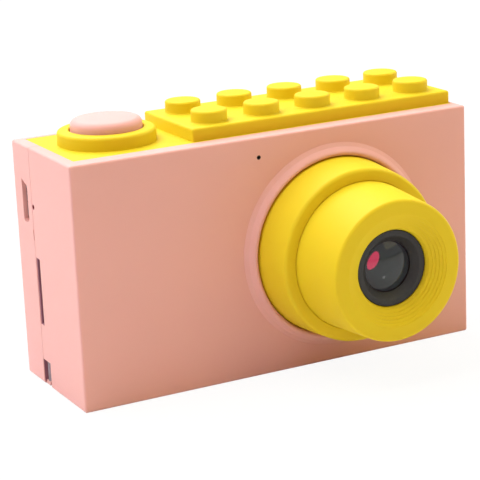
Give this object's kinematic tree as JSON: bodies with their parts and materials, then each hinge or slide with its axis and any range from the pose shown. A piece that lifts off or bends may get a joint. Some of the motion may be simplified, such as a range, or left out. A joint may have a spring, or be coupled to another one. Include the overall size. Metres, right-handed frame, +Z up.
{
  "type": "kids digital camera",
  "caption": "Small boxy camera for children with a stepped lens barrel, a large shutter button and a brick-stud plate on top.",
  "frame": {"origin": "centre of the underside of the body", "axes": "+X to the viewer's right when facing the lens, +Y from the lens side to the display side, +Z up; the lens looks along -Y"},
  "size_m": [0.08, 0.049, 0.0487],
  "materials": {
    "pink_plastic": "fine matte moulded",
    "yellow_plastic": "fine matte moulded",
    "black_plastic": "satin",
    "lens_glass": "coated, polished",
    "filter_glass": "coated, polished",
    "window": "clear over a black border",
    "steel": "zinc plated",
    "board": "solder mask",
    "chip": "moulded",
    "flex": "polyimide film",
    "foil": "matte film",
    "foam": "closed-cell foam",
    "lead": "insulated wire",
    "contact": "gold plated",
    "light": "translucent"
  },
  "bodies": {
    "camera": {"front_shell": "pink_plastic", "rear_shell": "pink_plastic", "top_panel": "yellow_plastic", "case_screws": "steel", "strap_pin": "steel", "shutter_switch_body": "chip", "lens_barrel_outer": "yellow_plastic", "lens_barrel_inner": "yellow_plastic", "barrel_clamp_ring": "black_plastic", "clamp_ring_screws": "steel", "lens_housing": "black_plastic", "front_lens": "lens_glass", "lens_aperture": "black_plastic", "rear_lens": "lens_glass", "lens_holder": "black_plastic", "ir_filter": "filter_glass", "image_sensor": "chip", "sensor_board": "board", "sensor_board_screws": "steel", "sensor_flex": "flex", "sensor_flex_connector": "chip", "main_board": "board", "board_screws": "steel", "board_chips": "chip", "usb_connector_shell": "steel", "usb_connector_tongue": "chip", "card_socket": "steel", "charge_light": "light", "microphone": "foil", "microphone_leads": "lead", "battery": "foil", "battery_pad": "foam", "battery_connector": "chip", "battery_leads": "lead", "display_module": "chip", "display_window": "window", "display_pads": "foam", "display_flex": "flex", "display_flex_connector": "chip", "speaker": "chip", "speaker_contacts": "contact", "key_switch_bodies": "chip"},
    "shutter": {"shutter_button": "pink_plastic", "shutter_switch_plunger": "black_plastic"},
    "key_power_body": {"key_power": "pink_plastic", "key_power_plunger": "black_plastic"},
    "key_up_body": {"key_up": "pink_plastic", "key_up_plunger": "black_plastic"},
    "key_ok_body": {"key_ok": "pink_plastic", "key_ok_plunger": "black_plastic"},
    "key_down_body": {"key_down": "pink_plastic", "key_down_plunger": "black_plastic"},
    "key_left_body": {"key_left": "pink_plastic", "key_left_plunger": "black_plastic"},
    "key_right_body": {"key_right": "pink_plastic", "key_right_plunger": "black_plastic"}
  },
  "joints": [
    {"name": "shutter_press", "type": "slide", "parent": "camera", "child": "shutter", "axis": [0, 0, -1], "range_m": [0, 0.0008], "stiffness_N_per_m": 1500, "springref_m": -0.0005},
    {"name": "key_power_press", "type": "slide", "parent": "camera", "child": "key_power_body", "axis": [0, -1, 0], "range_m": [0, 0.0004], "stiffness_N_per_m": 2500, "springref_m": -0.0003},
    {"name": "key_up_press", "type": "slide", "parent": "camera", "child": "key_up_body", "axis": [0, -1, 0], "range_m": [0, 0.0004], "stiffness_N_per_m": 2500, "springref_m": -0.0003},
    {"name": "key_ok_press", "type": "slide", "parent": "camera", "child": "key_ok_body", "axis": [0, -1, 0], "range_m": [0, 0.0004], "stiffness_N_per_m": 2500, "springref_m": -0.0003},
    {"name": "key_down_press", "type": "slide", "parent": "camera", "child": "key_down_body", "axis": [0, -1, 0], "range_m": [0, 0.0004], "stiffness_N_per_m": 2500, "springref_m": -0.0003},
    {"name": "key_left_press", "type": "slide", "parent": "camera", "child": "key_left_body", "axis": [0, -1, 0], "range_m": [0, 0.0004], "stiffness_N_per_m": 2500, "springref_m": -0.0003},
    {"name": "key_right_press", "type": "slide", "parent": "camera", "child": "key_right_body", "axis": [0, -1, 0], "range_m": [0, 0.0004], "stiffness_N_per_m": 2500, "springref_m": -0.0003}
  ]
}
